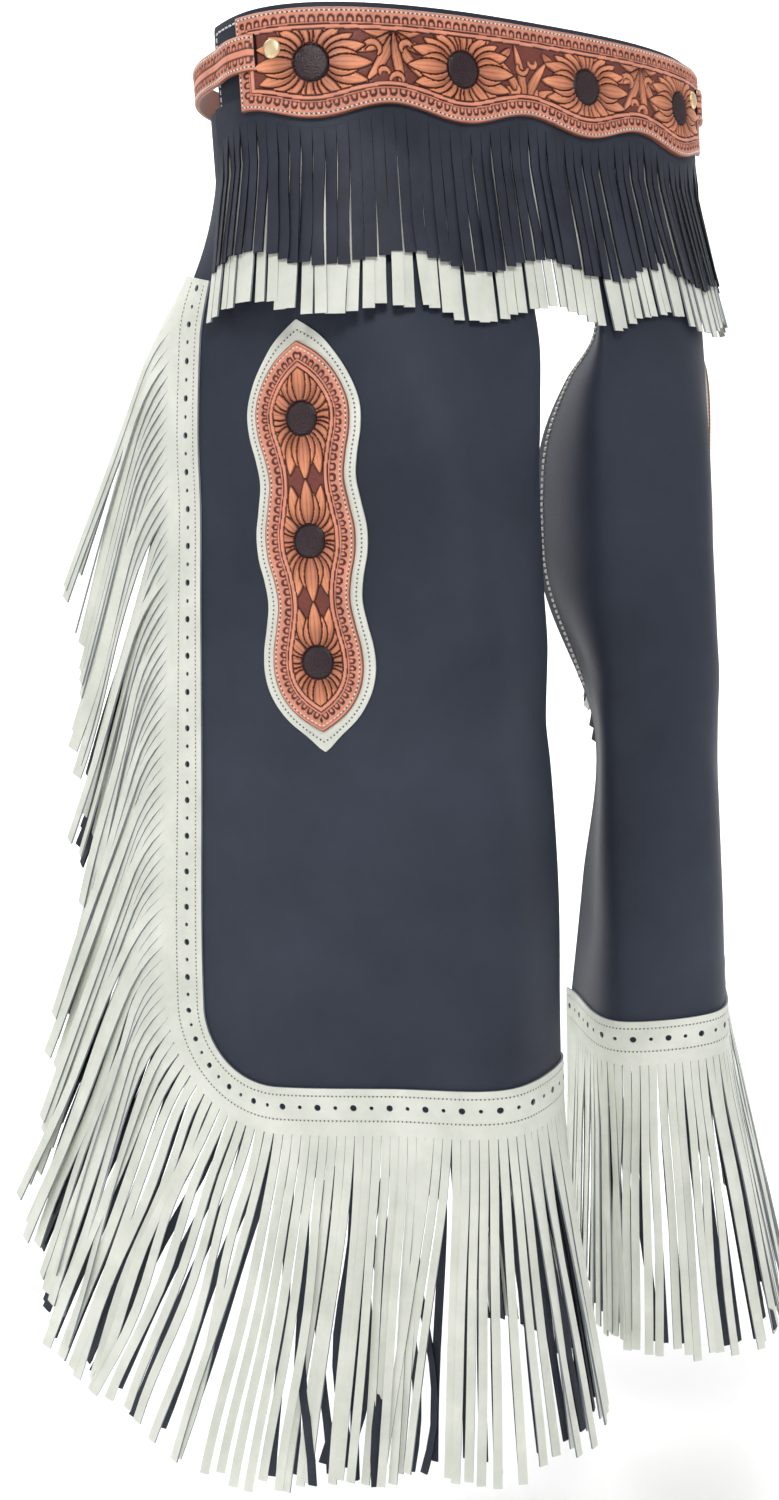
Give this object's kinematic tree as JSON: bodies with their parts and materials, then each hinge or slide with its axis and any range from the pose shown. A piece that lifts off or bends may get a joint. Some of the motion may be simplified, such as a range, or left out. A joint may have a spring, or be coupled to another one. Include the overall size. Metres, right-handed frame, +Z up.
{
  "type": "fringed leather chaps",
  "caption": "Worn leather chaps: scalloped tooled belt with straps and buckle, two open-backed black legs, flower patches, pale border strips, and long cut fringe at belt, sides and hems",
  "frame": {"origin": "middle of the waist opening, half way up the belt, where the wearer's hips hold the garment", "axes": "+Z up, -Y the way the wearer faces, +X the wearer's left"},
  "size_m": [0.685, 0.3652, 0.9949],
  "materials": {
    "black_leather": "smooth full-grain black leather with a soft sheen",
    "pale_leather": "matte ivory leather, cut and punched",
    "tooled_tan_leather": "carved and stamped tan leather with antiqued hollows",
    "gold_stud": "polished gold-coloured metal",
    "buckle_brass": "satin brass"
  },
  "bodies": {
    "root": {"belt_liner": "black_leather", "belt_fringe_black": "black_leather", "leg_panel_right": "black_leather", "leg_panel_left": "black_leather", "leg_underfringe_right": "black_leather", "leg_underfringe_left": "black_leather", "thigh_strap_right": "black_leather", "thigh_strap_left": "black_leather", "belt_fringe_white": "pale_leather", "leg_fringe_right": "pale_leather", "leg_fringe_left": "pale_leather", "patch_back_right": "pale_leather", "patch_back_left": "pale_leather", "belt_front": "tooled_tan_leather", "patch_flowers_right": "tooled_tan_leather", "patch_flowers_left": "tooled_tan_leather", "waist_strap_right": "tooled_tan_leather", "waist_strap_left": "tooled_tan_leather", "stud_right": "gold_stud", "stud_left": "gold_stud", "buckle_frame": "buckle_brass", "buckle_prong": "buckle_brass"}
  },
  "joints": []
}
